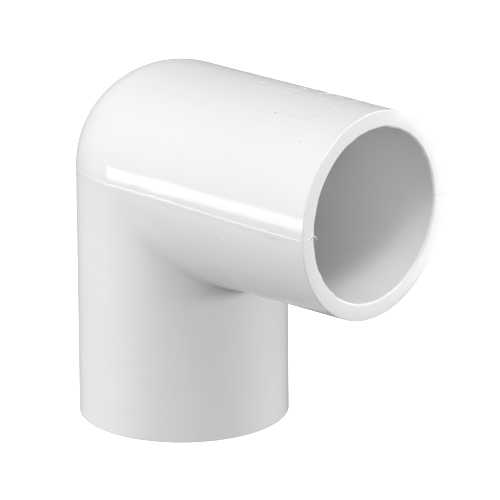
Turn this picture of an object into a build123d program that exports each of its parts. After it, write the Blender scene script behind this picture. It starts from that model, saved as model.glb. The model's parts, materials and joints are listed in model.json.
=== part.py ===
"""A 3/4 inch slip by slip 90 degree PVC elbow, standing on its lower mouth.

Millimetres, +Z up. The origin is the centre of the lower mouth, on the lower leg's axis. The side leg points
along +X, and the two axes cross at CROSSING. The real fitting is one injection moulding. Its regions are
separate solids here, which meet face to face: the two sockets, the bend between them, the flash along the
mould's parting plane, and the raised marks on top of the side leg.
"""

import os
from math import cos, radians, sin

from build123d import *

os.makedirs("parts", exist_ok=True)

# Driving dimensions of the moulding
OUTER_RADIUS = 16.1
CENTRE_TO_FACE = 39.3
SOCKET_RADIUS = 13.42
STOP_FROM_CENTRE = 14.05
WATERWAY_RADIUS = 10.25
RIM_ROUND = 0.2
MOUTH_CHAMFER = 0.25
CROTCH_FILLET = 1.2
BEND_REACH = 17.9

# Flash left where the two mould halves met
FLASH_WIDTH = 0.24
FLASH_HEIGHT = 0.12

# Raised marks on top of the side leg: a chevron, a row of bars, and a rounded frame with two dots and a bar
MARK_HEIGHT = 0.15
STROKE = 0.5
CHEVRON_X = 15.2
CHEVRON_ARM = 2.0
CHEVRON_ANGLE = 35
BAR_X = 22.3
BAR_LENGTHS = (1.3, 2.1, 1.3, 2.1, 2.1, 1.3, 2.1, 1.3)
BAR_SPACING = 2.0
FRAME_X = 29.4
FRAME_SIZE = (6.2, 13.6)
FRAME_CORNER = 1.2
FRAME_BAR = 3.0
DOT_RADIUS = 0.6
DOT_OFFSET = 3.4

# Worked out from the above
CROSSING = (0, 0, CENTRE_TO_FACE)
LEVEL = Plane.XY.offset(CENTRE_TO_FACE)
SIDEWAYS = Plane(origin=CROSSING, x_dir=(0, 1, 0), z_dir=(1, 0, 0))
SOCKET_LENGTH = CENTRE_TO_FACE - BEND_REACH
SEAT_LENGTH = BEND_REACH - STOP_FROM_CENTRE
FLASH_END = CENTRE_TO_FACE - RIM_ROUND


# Lower socket: the ring wall that a pipe is cemented into, from its mouth up to the bend
with BuildPart() as lower_socket:
    with BuildSketch(Plane.XY):
        Circle(OUTER_RADIUS)
        Circle(SOCKET_RADIUS, mode=Mode.SUBTRACT)
    extrude(amount=SOCKET_LENGTH)
    chamfer(lower_socket.edges().group_by(Axis.Z)[0].sort_by(SortBy.RADIUS)[0], MOUTH_CHAMFER)
    fillet(lower_socket.edges().group_by(Axis.Z)[0].sort_by(SortBy.RADIUS)[-1], RIM_ROUND)

# Side socket: the same wall, lying along +X
with BuildPart() as side_socket:
    with BuildSketch(SIDEWAYS.offset(BEND_REACH)):
        Circle(OUTER_RADIUS)
        Circle(SOCKET_RADIUS, mode=Mode.SUBTRACT)
    extrude(amount=SOCKET_LENGTH)
    chamfer(side_socket.edges().group_by(Axis.X)[-1].sort_by(SortBy.RADIUS)[0], MOUTH_CHAMFER)
    fillet(side_socket.edges().group_by(Axis.X)[-1].sort_by(SortBy.RADIUS)[-1], RIM_ROUND)

# Bend: two equal cylinders that meet in a filleted mitre at the crotch, with a spherical outer corner. A
# narrower waterway turns the corner inside it, and leaves a shoulder in each socket that stops the pipe.
with BuildPart() as bend:
    with BuildSketch(LEVEL):
        Circle(OUTER_RADIUS)
    extrude(amount=-BEND_REACH)
    with BuildSketch(SIDEWAYS):
        Circle(OUTER_RADIUS)
    extrude(amount=BEND_REACH)
    with Locations(CROSSING):
        Sphere(OUTER_RADIUS)
    fillet(bend.edges().filter_by(GeomType.ELLIPSE), CROTCH_FILLET)
    with BuildSketch(LEVEL):
        Circle(WATERWAY_RADIUS)
    extrude(amount=-BEND_REACH, mode=Mode.SUBTRACT)
    with BuildSketch(SIDEWAYS):
        Circle(WATERWAY_RADIUS)
    extrude(amount=BEND_REACH, mode=Mode.SUBTRACT)
    with Locations(CROSSING):
        Sphere(WATERWAY_RADIUS, mode=Mode.SUBTRACT)
    with BuildSketch(LEVEL.offset(-BEND_REACH)):
        Circle(SOCKET_RADIUS)
    extrude(amount=SEAT_LENGTH, mode=Mode.SUBTRACT)
    with BuildSketch(SIDEWAYS.offset(BEND_REACH)):
        Circle(SOCKET_RADIUS)
    extrude(amount=-SEAT_LENGTH, mode=Mode.SUBTRACT)

# Parting line flash: a thin ridge in the level plane through the side leg's axis, along both sides of the
# side leg and round the back of the bend. Its inner edge is the outline that the moulding has in that plane.
with BuildPart() as parting_line_flash:
    with BuildSketch(LEVEL):
        for radius, mode in ((OUTER_RADIUS + FLASH_HEIGHT, Mode.ADD), (OUTER_RADIUS, Mode.SUBTRACT)):
            Circle(radius, mode=mode)
            with Locations((FLASH_END / 2, 0)):
                Rectangle(FLASH_END, 2 * radius, mode=mode)
    extrude(amount=FLASH_WIDTH / 2, both=True)

# The thin skin of plastic, proud of the side leg, that the raised marks are cut from
with BuildPart() as mark_skin:
    with BuildSketch(SIDEWAYS):
        Circle(OUTER_RADIUS + MARK_HEIGHT)
        Circle(OUTER_RADIUS, mode=Mode.SUBTRACT)
    extrude(amount=CENTRE_TO_FACE)

# Raised marks: each outline is cast straight down through the skin
with BuildPart() as raised_marks:
    with BuildSketch(LEVEL):
        for turn in (CHEVRON_ANGLE, -CHEVRON_ANGLE):
            reach, rise = cos(radians(turn)) * CHEVRON_ARM, sin(radians(turn)) * CHEVRON_ARM
            with Locations((CHEVRON_X + reach / 2, rise / 2)):
                SlotOverall(CHEVRON_ARM + STROKE, STROKE, rotation=turn)
        for i, length in enumerate(BAR_LENGTHS):
            with Locations((BAR_X, (i - (len(BAR_LENGTHS) - 1) / 2) * BAR_SPACING)):
                SlotOverall(length, STROKE)
        with Locations((FRAME_X, 0)):
            RectangleRounded(*FRAME_SIZE, FRAME_CORNER)
            RectangleRounded(
                FRAME_SIZE[0] - 2 * STROKE, FRAME_SIZE[1] - 2 * STROKE, FRAME_CORNER - STROKE, mode=Mode.SUBTRACT
            )
            SlotOverall(FRAME_BAR, STROKE)
        with Locations((FRAME_X, -DOT_OFFSET), (FRAME_X, DOT_OFFSET)):
            Circle(DOT_RADIUS)
    extrude(amount=2 * OUTER_RADIUS)
    add(mark_skin.part, mode=Mode.INTERSECT)

for name, piece in (
    ("lower_socket", lower_socket),
    ("side_socket", side_socket),
    ("bend", bend),
    ("parting_line_flash", parting_line_flash),
    ("raised_marks", raised_marks),
):
    piece.part.label = name
    export_step(piece.part, f"parts/{name}.step")
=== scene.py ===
"""A white PVC slip elbow, standing on its lower mouth on a light table, under soft studio light.

Metres, in the CAD frame: +Z up, the origin at the centre of the lower mouth, the side leg along +X.
"""

import json
import math

import bmesh
import bpy
import numpy as np
from mathutils import Matrix, Vector


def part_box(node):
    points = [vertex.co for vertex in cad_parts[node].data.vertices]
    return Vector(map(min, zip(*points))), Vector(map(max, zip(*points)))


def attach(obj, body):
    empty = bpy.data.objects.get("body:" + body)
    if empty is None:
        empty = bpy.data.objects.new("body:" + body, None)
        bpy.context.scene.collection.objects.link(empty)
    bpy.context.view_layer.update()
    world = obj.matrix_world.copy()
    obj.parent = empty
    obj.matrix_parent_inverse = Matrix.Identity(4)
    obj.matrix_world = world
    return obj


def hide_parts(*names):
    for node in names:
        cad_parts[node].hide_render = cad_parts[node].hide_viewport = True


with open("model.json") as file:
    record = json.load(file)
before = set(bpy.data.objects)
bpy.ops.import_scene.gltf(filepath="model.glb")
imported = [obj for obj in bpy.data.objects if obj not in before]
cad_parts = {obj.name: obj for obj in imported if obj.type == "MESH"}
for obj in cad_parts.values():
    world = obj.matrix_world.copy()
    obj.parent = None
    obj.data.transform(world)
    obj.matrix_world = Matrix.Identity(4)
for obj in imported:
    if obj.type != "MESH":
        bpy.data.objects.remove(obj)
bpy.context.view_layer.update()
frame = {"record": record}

MM = 0.001

# Sizes read from the frame
SIDE_MOUNT = next(m for m in frame["record"]["mounts"] if m["name"] == "side_socket")
FACE = SIDE_MOUNT["pos_m"][0]
LEVEL = SIDE_MOUNT["pos_m"][2]
BORE = SIDE_MOUNT["dims"]["r_mm"] * MM
BORE_LENGTH = SIDE_MOUNT["dims"]["length_mm"] * MM
socket_low, socket_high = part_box("lower_socket")
OUTER = (socket_high.x - socket_low.x) / 2

# Details of the moulding
RIM_ROUND = 0.15 * MM
CHAMFER = 0.25 * MM
BEVEL = 1.3 * MM
BEVEL_DROP = 0.02 * MM
EDGE_SOFTNESS = 0.06 * MM
WATERWAY = 10.25 * MM
STOP = FACE - CHAMFER - BORE_LENGTH
FACE_RECESS = 0.05 * MM
FACE_DRAFT = math.radians(0.8)
CROSSING = Vector((0, 0, LEVEL))

# Mesh density of the body, and how the search for its surface goes: its reach in radii, and its halvings
AROUND = 192
BEND_RINGS = 96
CORNER_RINGS = 41
LEG_SPACING = 0.9 * MM
ARC_STEPS = 6
PIVOT = 1.12 * OUTER
CROWDING = 1.6
SEARCH_REACH = 1.6
HALVINGS = 40

# Slight unevenness of the skin
WAVINESS = 0.007 * MM
WAVE_LENGTHS = (5 * MM, 18 * MM)

# The flow mark beside the highlight and the dimple next to it: height or depth, place and size,
# both as (along the side leg, up round it from the parting line)
FLOW_MARK = 0.025 * MM
FLOW_MARK_PLACE = (11.5 * MM, 3.1 * MM)
FLOW_MARK_SIZE = (4 * MM, 0.9 * MM)
DIMPLE = 0.015 * MM
DIMPLE_PLACE = (5.4 * MM, 2.4 * MM)
DIMPLE_SIZE = (0.8 * MM, 0.9 * MM)

# The trimmed inner edge of the side mouth
EDGE_WANDER = 0.03 * MM
EDGE_WAVE_LENGTHS = (1.4 * MM, 6 * MM)

# The soft flare under the side leg, where it runs into the lower leg. It comes and goes over these
# angles below the parting line, in degrees
FLARE = 0.03
FLARE_REACH = 0.3
FLARE_START = (8, 26)
FLARE_END = (56, 72)
CROTCH_BLEND = 0.05
TINY = 1e-9

# Raised marks on the side leg, as in the CAD
MARK_HEIGHT = 0.08 * MM
STROKE = 0.5 * MM
CHEVRON_X = 15.2 * MM
CHEVRON_ARM = 2.0 * MM
CHEVRON_ANGLE = 35
BAR_X = 22.3 * MM
BAR_LENGTHS = (1.3, 2.1, 1.3, 2.1, 2.1, 1.3, 2.1, 1.3)
BAR_SPACING = 2.0 * MM
FRAME_X = 29.4 * MM
FRAME_SIZE = (6.2 * MM, 13.6 * MM)
FRAME_CORNER = 1.2 * MM
FRAME_BAR = 3.0 * MM
DOT_RADIUS = 0.6 * MM
DOT_OFFSET = 3.4 * MM

# The flash along the outside: its height and half width, the spacing of its sections, how far above
# the crossing it starts, how far below it ends at the mouth, and how deep it sits in the skin
FLASH_HEIGHT = 0.044 * MM
FLASH_HALF = 0.3 * MM
FLASH_STEP = 0.2 * MM
FLASH_RISE = 0.5 * MM
FLASH_DROP = 0.1 * MM
FLASH_WANDER = 0.02 * MM
BEAD_WIDTH = 0.5
SEAT = 0.004 * MM

# The flash across the mouth, which is lower on the far side
FACE_FLASH_HEIGHT = 0.03 * MM
FAR_FLASH = 0.4
FACE_FLASH_HALF = 0.13 * MM
FACE_FLASH_DEPTH = 1.2 * MM
FACE_FLASH_RISE = 0.25 * MM
FACE_FLASH_ROUND = 0.1 * MM

# The curl of flash at the mouth's inner edge
BURR_START = 1.1 * MM
BURR_LENGTH = 1.6 * MM
BURR_SINK = 0.03 * MM
BURR_RISE = 0.1 * MM
BURR_ARCH = (0.08 * MM, 0.14 * MM)
BURR_HOOK = 0.62 * MM
BURR_FACING = (0.9, 0, 0.44)
BURR_HALF = 0.15 * MM
BURR_HEIGHT = 0.24 * MM
BURR_POINTS = 17

# (across, height) of a soft raised stroke, as parts of its half width and height
STROKE_SHAPE = (
    (-1, -0.3),
    (-0.8, 0.1),
    (-0.5, 0.6),
    (-0.2, 0.95),
    (0.2, 0.95),
    (0.5, 0.6),
    (0.8, 0.1),
    (1, -0.3),
)
# The same for the flash outside, which has a short slope above and a long one below
FLASH_SHAPE = (
    (-1.4, -1.5),
    (-0.95, 0),
    (-0.5, 0.42),
    (-0.15, 0.84),
    (0.2, 1),
    (0.8, 0.93),
    (1.8, 0.62),
    (2.7, 0.2),
    (3.5, -0.2),
    (4.4, -0.65),
    (5.2, -1.3),
)
# (radius, height) of a dot's levels, as parts of its own
DOT_SHAPE = ((1, -0.3), (0.92, 0.15), (0.78, 0.6), (0.55, 0.88), (0.25, 1))
DOT_STEPS = 20

# The PVC's colours, and the sizes of the patterns in it
TONES = ((0.793, 0.79, 0.807), (0.81, 0.805, 0.817))
STREAK_COLOUR = (0.773, 0.77, 0.786)
SCRATCH_COLOUR = (0.62, 0.62, 0.63)
DIRT_COLOUR = (0.09, 0.085, 0.08)
CLOUD_SIZE = 14 * MM
STREAK_SIZE = 2.5 * MM
STREAK_STRETCH = 0.12
PORE_SIZE = 0.35 * MM
SKIN_ROUGHNESS = (0.1, 0.135)
SKIN_RELIEF = 0.006 * MM
SCRATCH_SPACING = 16 * MM
SCRATCH_BEND = 6 * MM
DUST_SPACING = 3.2 * MM

# Grains of dirt on the side leg: how many, their radii, and where, along the leg in parts of FACE and
# round it in radians up from the parting line
GRAIN_COUNT = 5
GRAIN_RADII = (0.08 * MM, 0.13 * MM)
GRAINS_ALONG = (0.4, 0.95)
GRAINS_ROUND = (-0.3, 1.2)

# The camera's angles in degrees, and its place from the crossing of the axes, in outer radii
CAMERA_AZIMUTH = 42.52
CAMERA_ELEVATION = 18.22
CAMERA_ROLL = -0.467
CAMERA_LENS = 497.5
CAMERA_BACK = 65.33
CAMERA_RIGHT = 0.6468
CAMERA_DOWN = 0.8123

# The strip beside the object, the cards near the side mouth, and the low window beyond it
STRIP_PLACE = (-0.14, -0.27, 0.01)
STRIP_AIM = (-0.14, 0, 0.01)
STRIP_SIZE = (0.25, 0.06)
FAR_CARD_PLACE = (0.075, 0.095, 0.025)
NEAR_CARD_PLACE = (0.13, 0.015, 0.08)
CARD_AIM = (0.04, 0, 0.04)
CARD_SIZE = (0.07, 0.07)
WINDOW_AIM = Vector((0, 0, 0.03))
WINDOW_ANGLES = (35, 1)
WINDOW_DISTANCE = 1.2
WINDOW_SIZE = (0.6, 0.15)

# Soft glows of the studio: azimuth, elevation and spread in degrees, and brightness
GLOWS = (
    # two lamps overhead
    (-20, 70, 5, 25),
    (40, 55, 5, 8),
    # the viewer's side
    (-45, 5, 15, 2),
    # wide on the left, where the bend faces, and above it
    (-135, 5, 30, 1.4),
    (-90, 60, 20, 1.2),
    # behind, and up from the table
    (150, 15, 25, 0.6),
    (180, -45, 25, 0.4),
)

# The table top, a hair below the lower mouth
FLOOR = -0.05 * MM
FLOOR_REACH = 3


def ripple(points, count, shortest, longest, seed):
    """A smooth random field over points, about 1 in size: a sum of sine waves in random directions."""
    random = np.random.default_rng(seed)
    total = np.zeros(len(points))
    for _ in range(count):
        heading = random.normal(size=points.shape[1])
        heading /= np.linalg.norm(heading)
        length = shortest * (longest / shortest) ** random.random()
        total += np.sin(points @ heading * 2 * math.pi / length + random.uniform(0, 2 * math.pi))
    return total * math.sqrt(2 / count)


def smoothstep(low, high, value):
    """0 below low, 1 above high, and an S-shaped ramp between them."""
    t = np.clip((value - low) / (high - low), 0, 1)
    return t * t * (3 - 2 * t)


def loft(section, closed):
    """(vertices, faces) of a tube through rows of section points. closed joins the last row to the first."""
    count, around = section.shape[:2]
    faces = []
    for i in range(count if closed else count - 1):
        a, b = i * around, (i + 1) % count * around
        for j in range(around):
            k = (j + 1) % around
            faces.append((a + j, a + k, b + k, b + j))
    if not closed:
        faces.append(tuple(range(around - 1, -1, -1)))
        faces.append(tuple((count - 1) * around + j for j in range(around)))
    return section.reshape(-1, 3), faces


def add_piece(name, mesh):
    """A smooth-shaded object for a mesh, in the scene."""
    mesh.polygons.foreach_set("use_smooth", [True] * len(mesh.polygons))
    piece = bpy.data.objects.new(name, mesh)
    bpy.context.scene.collection.objects.link(piece)
    return piece


def joined(name, parts):
    """One mesh object from several (vertices, faces), with its faces turned outward."""
    builder = bmesh.new()
    for points, faces in parts:
        corners = [builder.verts.new(p) for p in points.tolist()]
        for face in faces:
            builder.faces.new([corners[i] for i in face])
    bmesh.ops.recalc_face_normals(builder, faces=builder.faces)
    mesh = bpy.data.meshes.new(name)
    builder.to_mesh(mesh)
    builder.free()
    return add_piece(name, mesh)


def rounded_line(corners, radii, steps):
    """A polyline in the plane with each inner corner turned into an arc of its own radius."""
    points = [np.array(corners[0], float)]
    for i in range(1, len(corners) - 1):
        before, corner, after = (np.array(c, float) for c in corners[i - 1 : i + 2])
        into = (before - corner) / np.linalg.norm(before - corner)
        out = (after - corner) / np.linalg.norm(after - corner)
        half = math.acos(np.clip(into @ out, -1, 1)) / 2
        reach = radii[i - 1] / math.tan(half)
        middle = corner + (into + out) / np.linalg.norm(into + out) * radii[i - 1] / math.sin(half)
        start, end = corner + into * reach - middle, corner + out * reach - middle
        turn = math.pi - 2 * half
        for s in np.linspace(0, 1, steps + 1):
            arc = (math.sin((1 - s) * turn) * start + math.sin(s * turn) * end) / math.sin(turn)
            points.append(middle + arc)
    points.append(np.array(corners[-1], float))
    return points


def outer_surface(x, y, z):
    """Below 0 inside the elbow's outer skin and above 0 outside it, in outer radii from the crossing."""
    lower = np.hypot(x, y) - 1
    below = np.degrees(np.arctan2(-z, np.abs(y)))
    shoulder = smoothstep(*FLARE_START, below) * (1 - smoothstep(*FLARE_END, below))
    near = np.exp(-((np.maximum(x + z, 0) / FLARE_REACH) ** 2))
    side = np.hypot(y, z) - 1 - FLARE * shoulder * near
    ball = np.sqrt(x * x + y * y + z * z) - 1
    reach = CROTCH_BLEND * smoothstep(0, 0.5, np.minimum(x, -z)) + TINY
    overlap = np.maximum(reach - np.abs(lower - side), 0) / reach
    crotch = np.minimum(lower, side) - overlap**2 * reach / 4
    front = np.where(z > 0, side, crotch)
    back = np.where(z > 0, ball, lower)
    return np.where(x > 0, front, back)


def waterway_surface(x, y, z):
    """The same for the waterway, in waterway radii: two round holes that meet in a ball at the corner."""
    lower = np.hypot(x, y) - 1
    side = np.hypot(y, z) - 1
    ball = np.sqrt(x * x + y * y + z * z) - 1
    front = np.where(z > 0, side, np.minimum(lower, side))
    back = np.where(z > 0, ball, lower)
    return np.where(x > 0, front, back)


def bend_rings(surface, radius, pivot, turns):
    """Rings where half planes through the line x = pivot, z = -pivot cut a surface, in the CAD frame."""
    turns = np.asarray(turns)[:, None]
    angles = np.linspace(0, 2 * math.pi, AROUND, endpoint=False)[None, :]
    reach = pivot / np.maximum(np.cos(turns), np.sin(turns)) / radius
    pivot = pivot / radius
    away = (-np.cos(turns), np.sin(turns))
    low = np.zeros((len(turns), AROUND))
    high = np.full_like(low, SEARCH_REACH)

    def at(distance):
        out = reach + distance * np.cos(angles)
        return pivot + away[0] * out, distance * np.sin(angles), -pivot + away[1] * out

    for _ in range(HALVINGS):
        middle = (low + high) / 2
        inside = surface(*at(middle)) < 0
        low = np.where(inside, middle, low)
        high = np.where(inside, high, middle)
    x, y, z = at((low + high) / 2)
    return np.stack([x * radius, y * radius, z * radius + LEVEL], axis=-1)


def leg_ring(along, radius, side):
    """One round ring of a leg, at a distance from the crossing of the axes."""
    angles = np.linspace(0, 2 * math.pi, AROUND, endpoint=False)
    across = radius * np.sin(angles)
    if side:
        return np.stack([np.full(AROUND, along), across, radius * np.cos(angles) + LEVEL], axis=-1)
    return np.stack([-radius * np.cos(angles), across, np.full(AROUND, LEVEL - along)], axis=-1)


def leg_profile(start):
    """(distance from the crossing, radius) along a leg: up the outside, round the rim, and down the bore."""
    outside = [(s, OUTER) for s in np.arange(start, FACE - 2.5 * RIM_ROUND, LEG_SPACING)[1:]]
    rim = rounded_line(
        [
            (FACE - 2 * RIM_ROUND, OUTER),
            (FACE, OUTER),
            (FACE, BORE + BEVEL),
            (FACE - BEVEL_DROP, BORE + CHAMFER),
            (FACE - CHAMFER, BORE),
            (FACE - 4 * CHAMFER, BORE),
        ],
        [RIM_ROUND, EDGE_SOFTNESS, EDGE_SOFTNESS, EDGE_SOFTNESS],
        ARC_STEPS,
    )
    bore = [(s, BORE) for s in np.arange(FACE - 8 * CHAMFER, STOP + MM, -2 * MM)]
    shoulder = rounded_line(
        [(STOP + 0.8 * MM, BORE), (STOP, BORE), (STOP, WATERWAY), (STOP - 4 * EDGE_SOFTNESS, WATERWAY)],
        [2 * EDGE_SOFTNESS, 2 * EDGE_SOFTNESS],
        ARC_STEPS,
    )
    return [*outside, *rim, *bore, *shoulder]


def push(mesh, distances):
    """Move each vertex along its normal."""
    points = np.empty(len(mesh.vertices) * 3)
    normals = np.empty_like(points)
    mesh.vertices.foreach_get("co", points)
    mesh.vertices.foreach_get("normal", normals)
    points = points.reshape(-1, 3) + normals.reshape(-1, 3) * distances[:, None]
    mesh.vertices.foreach_set("co", points.ravel())
    mesh.update()


def swelling(x, arc, place, size):
    """A soft round rise, 1 in its middle, on the skin of the side leg."""
    return np.exp(-(((x - place[0]) / size[0]) ** 2) - ((arc - place[1]) / size[1]) ** 2)


def unevenness(points):
    """How far the outside skin stands off its nominal shape: waves, a flow mark, and a dimple beside it."""
    x, y, z = points[:, 0], points[:, 1], points[:, 2] - LEVEL
    arc = OUTER * np.arctan2(z, -y)
    mark = FLOW_MARK * swelling(x, arc, FLOW_MARK_PLACE, FLOW_MARK_SIZE)
    dimple = DIMPLE * swelling(x, arc, DIMPLE_PLACE, DIMPLE_SIZE)
    return np.where(y < 0, mark - dimple, 0) + WAVINESS * ripple(points, 28, *WAVE_LENGTHS, seed=7)


def finish_mouth(mesh):
    """Lean the side mouth's face back from the parting line, as draft does, and roughen its inner edge."""
    points = np.empty(len(mesh.vertices) * 3)
    mesh.vertices.foreach_get("co", points)
    points = points.reshape(-1, 3)
    near = smoothstep(FACE - 1.4 * MM, FACE - 0.5 * MM, points[:, 0])
    points[:, 0] -= near * (FACE_RECESS + math.tan(FACE_DRAFT) * np.abs(points[:, 2] - LEVEL))
    radius = np.hypot(points[:, 1], points[:, 2] - LEVEL)
    inner = near * (1 - smoothstep(CHAMFER, 4 * CHAMFER, radius - BORE))
    wander = EDGE_WANDER * inner * ripple(points, 24, *EDGE_WAVE_LENGTHS, seed=9)
    points[:, 1] *= 1 + wander / radius
    points[:, 2] = LEVEL + (points[:, 2] - LEVEL) * (1 + wander / radius)
    mesh.vertices.foreach_set("co", points.ravel())
    mesh.update()


def elbow_body():
    """The moulding as one closed skin: outside, both rims, both sockets, both shoulders and the waterway."""
    spread = np.linspace(-1, 1, BEND_RINGS + 1)
    turns = math.pi / 4 * (1 + np.sign(spread) * np.abs(spread) ** CROWDING)
    outer = bend_rings(outer_surface, OUTER, PIVOT, turns)
    side = [leg_ring(s, r, True) for s, r in leg_profile(PIVOT)]
    corner = np.linspace(math.pi / 2, 0, CORNER_RINGS)
    inner = bend_rings(waterway_surface, WATERWAY, STOP - 4 * EDGE_SOFTNESS, corner)
    lower = [leg_ring(s, r, False) for s, r in reversed(leg_profile(PIVOT))]
    points, faces = loft(np.asarray([*outer, *side, *inner[1:-1], *lower]), True)
    mesh = bpy.data.meshes.new("elbow_body")
    mesh.from_pydata(points.tolist(), [], faces)

    x, y, z = points.T
    far = np.maximum(x, LEVEL - z)
    radius = np.where(x > LEVEL - z, np.hypot(y, z - LEVEL), np.hypot(x, y))
    outside = smoothstep(BORE, OUTER - 2 * RIM_ROUND, radius)
    clear_of_rims = 1 - smoothstep(FACE - 3 * MM, FACE - MM, far)
    push(mesh, outside * clear_of_rims * unevenness(points))
    finish_mouth(mesh)
    return add_piece("elbow_body", mesh)


def ridge(points, normals, half_widths, heights, closed):
    """(vertices, faces) of a soft raised stroke along points on a surface, whose normals point outward."""
    ahead = np.roll(points, -1, 0) - np.roll(points, 1, 0)
    if not closed:
        ahead[0], ahead[-1] = points[1] - points[0], points[-1] - points[-2]
    sideways = np.cross(normals, ahead)
    sideways /= np.linalg.norm(sideways, axis=1)[:, None]
    across, up = np.array(STROKE_SHAPE).T
    section = (
        points[:, None]
        + sideways[:, None] * (across[None] * half_widths[:, None])[..., None]
        + normals[:, None] * (up[None] * heights[:, None])[..., None]
    )
    return loft(section, closed)


def dome(centre, normal, radius, height):
    """(vertices, faces) of a low round dome on a surface."""
    right = np.cross((0, 1, 0), normal)
    right /= np.linalg.norm(right)
    up = np.cross(normal, right)
    turns = np.linspace(0, 2 * math.pi, DOT_STEPS, endpoint=False)[:, None]
    rim = np.cos(turns) * right + np.sin(turns) * up
    return loft(np.stack([centre + rim * radius * r + normal * height * h for r, h in DOT_SHAPE]), False)


def resampled(line, step):
    """Points every step along a polyline."""
    line = np.asarray(line)
    lengths = np.concatenate([[0], np.cumsum(np.linalg.norm(np.diff(line, axis=0), axis=1))])
    at = np.linspace(0, lengths[-1], max(3, round(lengths[-1] / step) + 1))
    return np.stack([np.interp(at, lengths, line[:, i]) for i in range(line.shape[1])], axis=1), at


def flash_skin(x, line, z):
    """Where the flash's sections lie on the nominal skin, and the skin's normals there."""
    fall = np.sqrt(1 - (z / OUTER) ** 2)
    turn = np.sqrt(1 - (np.clip(x, 0, None) / OUTER).clip(0, 1) ** 2)
    shrink = np.where(z > 0, fall, np.where(x > 0, np.maximum(fall, turn), 1))
    skin = np.stack([np.where(x > 0, x, x * shrink), line[:, 1:] * shrink, z], axis=-1)
    on_lower_leg = (z < 0) & ((x < 0) | ((shrink >= turn) & (fall < turn)))
    normals = np.stack([np.minimum(skin[..., 0], 0), skin[..., 1], np.where(on_lower_leg, 0, z)], axis=-1)
    normals /= np.linalg.norm(normals, axis=-1)[..., None]
    skin[..., 2] += LEVEL
    return skin, normals


def outer_flash():
    """The flash along both sides of the side leg and round the bend, as a low ridge laid on the skin."""
    end = FACE - FACE_RECESS - RIM_ROUND
    bend = [(-OUTER * math.sin(t), -OUTER * math.cos(t)) for t in np.linspace(0, math.pi, 90)]
    line, along = resampled([(end, -OUTER), *bend, (end, OUTER)], FLASH_STEP)
    x = line[:, 0]
    slow = ripple(along[:, None], 16, 2 * MM, 16 * MM, seed=3)
    beads = ripple(along[:, None], 16, 0.7 * MM, 2 * MM, seed=4)

    # lower and narrower along the leg than round the bend, and beaded a little before the mouth
    bent = 1 - smoothstep(8 * MM, 22 * MM, x)
    beaded = smoothstep(FACE - 15 * MM, FACE - 9 * MM, x) * (1 - smoothstep(FACE - 3 * MM, FACE - MM, x))
    height = FLASH_HEIGHT * (0.75 + 0.25 * bent + 0.12 * slow)
    crest = FLASH_HEIGHT * beaded * np.maximum(beads, -0.1)
    half = FLASH_HALF * (0.62 + 0.38 * bent + 0.08 * slow)
    rise = FLASH_RISE * (1 - smoothstep(4 * MM, 32 * MM, x)) - FLASH_DROP * smoothstep(20 * MM, 36 * MM, x)
    rise = rise + FLASH_WANDER * slow

    across, up = np.array(FLASH_SHAPE).T
    z = rise[:, None] - across[None] * half[:, None]
    skin, normals = flash_skin(x[:, None], line, z)
    lift = height[:, None] * up[None] + crest[:, None] * np.exp(-((across[None] / BEAD_WIDTH) ** 2))
    lift += unevenness(skin.reshape(-1, 3)).reshape(z.shape) - SEAT
    return loft(skin + normals * lift[..., None], False)


def face_flash(side):
    """The flash across the side mouth's face and into its bore. side is -1 on the viewer's side, or 1."""
    face = FACE - FACE_RECESS
    corners = [
        (face - FACE_FLASH_DEPTH, BORE),
        (face - CHAMFER, BORE),
        (face, BORE + CHAMFER),
        (face, OUTER - RIM_ROUND / 2),
    ]
    rounded = rounded_line(corners, [FACE_FLASH_ROUND, FACE_FLASH_ROUND], ARC_STEPS)
    line, along = resampled(rounded, FLASH_STEP / 2)
    ahead = np.gradient(line, axis=0)
    ahead /= np.linalg.norm(ahead, axis=1)[:, None]
    across = smoothstep(BORE, OUTER, line[:, 1])
    rise = FACE_FLASH_RISE * (1 - across) ** 2 - FLASH_DROP
    points = np.column_stack([line[:, 0], side * line[:, 1], LEVEL + rise])
    normals = np.column_stack([ahead[:, 1], -side * ahead[:, 0], np.zeros(len(line))])
    swell = np.clip(1 + 0.25 * ripple(along[:, None], 12, 0.6 * MM, 3 * MM, seed=5), 0.6, 1.2)
    height = FACE_FLASH_HEIGHT * (1 if side < 0 else FAR_FLASH) * swell * smoothstep(-0.2 * MM, MM, along)
    return ridge(points, normals, FACE_FLASH_HALF * swell, height, False)


def burr():
    """A curl of flash that hooks over the inner edge of the mouth."""
    turns = np.linspace(0, 1, BURR_POINTS)
    arch = np.sin(math.pi * turns)
    points = np.column_stack(
        [
            FACE - FACE_RECESS - BURR_SINK + BURR_ARCH[0] * arch,
            -BORE - BURR_START + BURR_LENGTH * turns,
            LEVEL + BURR_RISE + BURR_ARCH[1] * arch - BURR_HOOK * turns**4,
        ]
    )
    normals = np.tile(BURR_FACING, (BURR_POINTS, 1))
    shape = np.sin(math.pi * (0.1 + 0.78 * turns))
    return ridge(points, normals, BURR_HALF * shape, BURR_HEIGHT * shape, False)


def on_leg(x, y):
    """Points on top of the side leg, and the leg's normals there."""
    x, y = np.broadcast_arrays(np.asarray(x, float), np.asarray(y, float))
    up = np.sqrt(OUTER**2 - y**2)
    normal = np.stack([np.zeros_like(y), y, up], axis=-1) / OUTER
    return np.stack([x, y, LEVEL + up], axis=-1), normal


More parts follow.
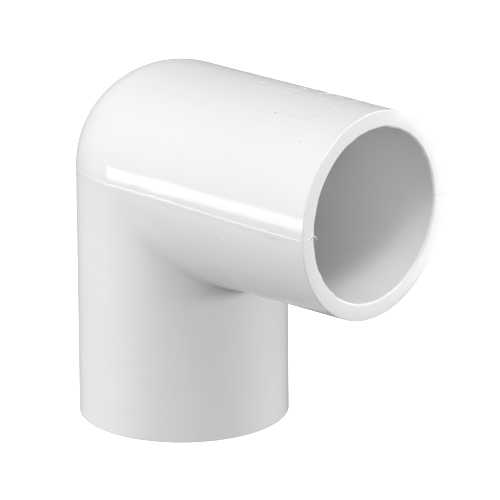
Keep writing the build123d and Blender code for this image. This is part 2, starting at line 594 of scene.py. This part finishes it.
def mark_stroke(ends, closed, seed):
    """A raised stroke along a line on top of the side leg."""
    line, along = resampled(ends, 0.2 * MM)
    if closed:
        line, along = line[:-1], along[:-1]
    points, normals = on_leg(line[:, 0], line[:, 1])
    wear = 1 + 0.15 * ripple(points, 10, 1.5 * MM, 6 * MM, seed)
    height = MARK_HEIGHT * np.clip(wear, 0.5, 1.1)
    half = np.full(len(points), STROKE / 2)
    if not closed:
        tips = np.minimum(along, along[-1] - along)
        soft = np.sqrt(np.clip(tips / (STROKE / 2) + 0.08, 0, 1))
        height, half = height * soft, half * np.clip(soft, 0.3, 1)
    return ridge(points, normals, half, height, closed)


def mark_relief():
    """The raised marks: a chevron, a row of bars, and a rounded frame that holds a bar and two dots."""
    parts = []
    for side in (1, -1):
        turn = math.radians(side * CHEVRON_ANGLE)
        tip = (CHEVRON_X + CHEVRON_ARM * math.cos(turn), CHEVRON_ARM * math.sin(turn))
        parts.append(mark_stroke([(CHEVRON_X, 0), tip], False, 20 + side))
    for i, length in enumerate(BAR_LENGTHS):
        y = (i - (len(BAR_LENGTHS) - 1) / 2) * BAR_SPACING
        reach = length * MM / 2
        parts.append(mark_stroke([(BAR_X - reach, y), (BAR_X + reach, y)], False, 30 + i))
    wide, long = ((size - STROKE) / 2 for size in FRAME_SIZE)
    corner = FRAME_CORNER - STROKE / 2
    loop = []
    for quarter, (sx, sy) in enumerate(((1, 1), (-1, 1), (-1, -1), (1, -1))):
        for turn in np.radians(np.linspace(0, 90, 7) + 90 * quarter):
            x = FRAME_X + sx * (wide - corner) + corner * math.cos(turn)
            loop.append((x, sy * (long - corner) + corner * math.sin(turn)))
    parts.append(mark_stroke([*loop, loop[0]], True, 40))
    reach = FRAME_BAR / 2
    parts.append(mark_stroke([(FRAME_X - reach, 0), (FRAME_X + reach, 0)], False, 41))
    for y in (-DOT_OFFSET, DOT_OFFSET):
        centre, normal = on_leg(FRAME_X, y)
        parts.append(dome(centre, normal, DOT_RADIUS, MARK_HEIGHT))
    return joined("mark_relief", parts)


def view_frame(azimuth, elevation, roll):
    """The camera's right, up and back directions."""
    a, e, r = (math.radians(v) for v in (azimuth, elevation, roll))
    back = Vector((math.sin(a) * math.cos(e), -math.cos(a) * math.cos(e), math.sin(e)))
    level = Vector((math.cos(a), math.sin(a), 0))
    upright = back.cross(level)
    return (
        level * math.cos(r) + upright * math.sin(r),
        upright * math.cos(r) - level * math.sin(r),
        back,
    )


def add_camera():
    """A long lens at the photograph's angle, aimed a little right of and below the crossing of the axes."""
    right, up, back = view_frame(CAMERA_AZIMUTH, CAMERA_ELEVATION, CAMERA_ROLL)
    data = bpy.data.cameras.new("camera")
    data.lens = CAMERA_LENS
    data.clip_start = 0.1
    data.clip_end = 20
    camera = bpy.data.objects.new("camera", data)
    place = CROSSING + OUTER * (CAMERA_BACK * back + CAMERA_RIGHT * right - CAMERA_DOWN * up)
    turn = Matrix((right, up, back)).transposed().to_4x4()
    camera.matrix_world = Matrix.Translation(place) @ turn
    bpy.context.scene.collection.objects.link(camera)
    bpy.context.scene.camera = camera


def math_node(tree, operation, *values):
    """The output of a new Math node. Each value is a number or another node's output."""
    node = tree.nodes.new("ShaderNodeMath")
    node.operation = operation
    for socket, value in zip(node.inputs, values):
        if isinstance(value, (int, float)):
            socket.default_value = value
        else:
            tree.links.new(value, socket)
    return node.outputs[0]


def direction(azimuth, elevation):
    """The unit vector toward an azimuth from +X, counterclockwise, and an elevation, in degrees."""
    a, e = math.radians(azimuth), math.radians(elevation)
    return Vector((math.cos(e) * math.cos(a), math.cos(e) * math.sin(a), math.sin(e)))


def add_softbox(name, place, aim, size, brightness):
    """A rectangular light. brightness is the radiance of its face, so it is independent of its size."""
    data = bpy.data.lights.new(name, "AREA")
    data.shape = "RECTANGLE"
    data.size, data.size_y = size
    data.energy = brightness * math.pi * size[0] * size[1]
    light = bpy.data.objects.new(name, data)
    light.location = place
    light.rotation_mode = "QUATERNION"
    light.rotation_quaternion = (Vector(place) - Vector(aim)).to_track_quat("Z", "Y")
    light.visible_camera = False
    bpy.context.scene.collection.objects.link(light)


def add_lights():
    """A strip that draws the long highlight, two cards near the side mouth, and a low window beyond it."""
    add_softbox("strip", STRIP_PLACE, STRIP_AIM, STRIP_SIZE, brightness=3.4)
    add_softbox("far_card", FAR_CARD_PLACE, CARD_AIM, CARD_SIZE, brightness=2.4)
    add_softbox("near_card", NEAR_CARD_PLACE, CARD_AIM, CARD_SIZE, brightness=0.7)
    window = WINDOW_AIM + WINDOW_DISTANCE * direction(*WINDOW_ANGLES)
    add_softbox("window", window, WINDOW_AIM, WINDOW_SIZE, brightness=27)


def add_world():
    """A dark studio with soft glows in it. Each glow falls off as a bell curve round its own direction."""
    world = bpy.data.worlds.new("studio")
    bpy.context.scene.world = world
    world.use_nodes = True
    tree = world.node_tree
    place = tree.nodes.new("ShaderNodeTexCoord").outputs["Generated"]
    total = None
    for azimuth, elevation, spread, brightness in GLOWS:
        sharpness = 1 / math.radians(spread) ** 2
        dot = tree.nodes.new("ShaderNodeVectorMath")
        dot.operation = "DOT_PRODUCT"
        tree.links.new(place, dot.inputs[0])
        dot.inputs[1].default_value = direction(azimuth, elevation)
        power = math_node(tree, "MULTIPLY_ADD", dot.outputs["Value"], sharpness, -sharpness)
        bell = math_node(tree, "EXPONENT", power)
        total = math_node(tree, "MULTIPLY_ADD", bell, brightness, total if total else 0)
    tree.links.new(total, tree.nodes["Background"].inputs["Strength"])
    tree.nodes["Background"].inputs["Color"].default_value = (1, 0.998, 0.985, 1)


def add_floor():
    """A plain white table top, so bright that it shows no shadow. Only the camera sees it."""
    corners = [(FLOOR_REACH * x, FLOOR_REACH * y, FLOOR) for x, y in ((-1, -1), (1, -1), (1, 1), (-1, 1))]
    mesh = bpy.data.meshes.new("floor")
    mesh.from_pydata(corners, [], [(0, 1, 2, 3)])
    floor = bpy.data.objects.new("floor", mesh)
    floor.visible_diffuse = False
    floor.visible_glossy = False
    floor.visible_shadow = False
    bpy.context.scene.collection.objects.link(floor)
    material = bpy.data.materials.new("white_table")
    material.use_nodes = True
    shader = material.node_tree.nodes["Principled BSDF"]
    shader.inputs["Base Color"].default_value = (0.8, 0.8, 0.8, 1)
    shader.inputs["Roughness"].default_value = 0.8
    shader.inputs["Emission Color"].default_value = (1, 1, 1, 1)
    shader.inputs["Emission Strength"].default_value = 1
    mesh.materials.append(material)


def texture(tree, kind, place, size):
    """A procedural texture node at a place, with cells of about a size."""
    node = tree.nodes.new(kind)
    tree.links.new(place, node.inputs["Vector"])
    node.inputs["Scale"].default_value = 1 / size
    return node


def noise(tree, place, size, detail):
    """A Noise texture node."""
    node = texture(tree, "ShaderNodeTexNoise", place, size)
    node.inputs["Detail"].default_value = detail
    return node


def ramp(tree, value, low, high, at_low, at_high):
    """A smooth step of a value, from at_low at low to at_high at high."""
    node = tree.nodes.new("ShaderNodeMapRange")
    node.interpolation_type = "SMOOTHSTEP"
    tree.links.new(value, node.inputs["Value"])
    for name, number in zip(("From Min", "From Max", "To Min", "To Max"), (low, high, at_low, at_high)):
        node.inputs[name].default_value = number
    return node.outputs["Result"]


def blend(tree, factor, first, second):
    """A colour between two, each a colour or another node's output."""
    node = tree.nodes.new("ShaderNodeMix")
    node.data_type = "RGBA"
    tree.links.new(factor, node.inputs["Factor"])
    for name, colour in (("A", first), ("B", second)):
        socket = next(i for i in node.inputs if i.name == name and i.type == "RGBA")
        if isinstance(colour, tuple):
            socket.default_value = (*colour, 1)
        else:
            tree.links.new(colour, socket)
    return next(o for o in node.outputs if o.type == "RGBA")


def grains():
    """(place, radius) of a few grains of dirt, scattered over the near half of the side leg."""
    random = np.random.default_rng(seed=5)
    for _ in range(GRAIN_COUNT):
        along, turn = random.uniform(*GRAINS_ALONG) * FACE, random.uniform(*GRAINS_ROUND)
        yield (along, -OUTER * math.cos(turn), LEVEL + OUTER * math.sin(turn)), random.uniform(*GRAIN_RADII)


def cell_random(tree, cells):
    """A random number for each cell of a Voronoi texture: the red channel of its colour."""
    split = tree.nodes.new("ShaderNodeSeparateColor")
    tree.links.new(cells.outputs["Color"], split.inputs[0])
    return split.outputs[0]


def dirt_mask(tree, place):
    """1 on the grains of dirt, part way up on a few specks of dust, and 0 elsewhere."""
    dust = texture(tree, "ShaderNodeTexVoronoi", place, DUST_SPACING)
    near = ramp(tree, dust.outputs["Distance"], 0.018, 0.034, 1, 0)
    chosen = math_node(tree, "GREATER_THAN", cell_random(tree, dust), 0.8)
    total = math_node(tree, "MULTIPLY", math_node(tree, "MULTIPLY", near, chosen), 0.45)
    for centre, radius in grains():
        gap = tree.nodes.new("ShaderNodeVectorMath")
        gap.operation = "DISTANCE"
        tree.links.new(place, gap.inputs[0])
        gap.inputs[1].default_value = centre
        grain = ramp(tree, gap.outputs["Value"], 0.5 * radius, radius, 1, 0)
        total = math_node(tree, "MAXIMUM", total, grain)
    return total


def hairline_mask(tree, place):
    """About 1 on a few long, faint, curved scratches."""
    bend = noise(tree, place, 9 * MM, 1)
    bent = tree.nodes.new("ShaderNodeVectorMath")
    bent.operation = "MULTIPLY_ADD"
    tree.links.new(bend.outputs["Color"], bent.inputs[0])
    bent.inputs[1].default_value = (SCRATCH_BEND, SCRATCH_BEND, SCRATCH_BEND)
    tree.links.new(place, bent.inputs[2])
    cells = texture(tree, "ShaderNodeTexVoronoi", bent.outputs[0], SCRATCH_SPACING)
    cells.feature = "DISTANCE_TO_EDGE"
    line = ramp(tree, cells.outputs["Distance"], 0.001, 0.005, 1, 0)
    patches = noise(tree, place, 7 * MM, 2).outputs["Fac"]
    return math_node(tree, "MULTIPLY", line, ramp(tree, patches, 0.56, 0.64, 0, 1))


def white_pvc():
    """Moulded white PVC: cool white with faint clouds and flow streaks, polished, dusty and scratched."""
    material = bpy.data.materials.new("white_pvc")
    material.use_nodes = True
    tree = material.node_tree
    shader = tree.nodes["Principled BSDF"]
    place = tree.nodes.new("ShaderNodeTexCoord").outputs["Object"]
    stretch = tree.nodes.new("ShaderNodeMapping")
    tree.links.new(place, stretch.inputs["Vector"])
    stretch.inputs["Scale"].default_value = (STREAK_STRETCH, 1, 1)
    clouds = noise(tree, place, CLOUD_SIZE, 3).outputs["Fac"]
    streaks = noise(tree, stretch.outputs[0], STREAK_SIZE, 3).outputs["Fac"]
    pores = noise(tree, place, PORE_SIZE, 2).outputs["Fac"]
    hairlines = hairline_mask(tree, place)
    dirt = dirt_mask(tree, place)

    tone = blend(tree, ramp(tree, clouds, 0.3, 0.7, 0, 1), *TONES)
    streaked = blend(tree, ramp(tree, streaks, 0.35, 0.75, 0, 0.25), tone, STREAK_COLOUR)
    scratched = blend(tree, math_node(tree, "MULTIPLY", hairlines, 0.1), streaked, SCRATCH_COLOUR)
    dirty = blend(tree, dirt, scratched, DIRT_COLOUR)
    tree.links.new(dirty, shader.inputs["Base Color"])

    polish = ramp(tree, streaks, 0.3, 0.75, *SKIN_ROUGHNESS)
    worn = math_node(tree, "MULTIPLY_ADD", hairlines, 0.08, polish)
    tree.links.new(math_node(tree, "MULTIPLY_ADD", dirt, 0.5, worn), shader.inputs["Roughness"])
    shader.inputs["IOR"].default_value = 1.53

    bump = tree.nodes.new("ShaderNodeBump")
    bump.inputs["Strength"].default_value = 1
    bump.inputs["Distance"].default_value = SKIN_RELIEF
    tree.links.new(math_node(tree, "MULTIPLY_ADD", pores, 0.35, streaks), bump.inputs["Height"])
    tree.links.new(bump.outputs[0], shader.inputs["Normal"])
    return material


bpy.context.scene.view_settings.view_transform = "Standard"
add_camera()
add_world()
add_lights()
add_floor()

pvc = white_pvc()
body = elbow_body()
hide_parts("lower_socket", "side_socket", "bend")
flash = joined("flash_ridge", [outer_flash(), face_flash(-1), face_flash(1), burr()])
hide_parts("parting_line_flash")
marks = mark_relief()
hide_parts("raised_marks")
for piece in (body, flash, marks):
    piece.data.materials.append(pvc)
    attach(piece, "root")
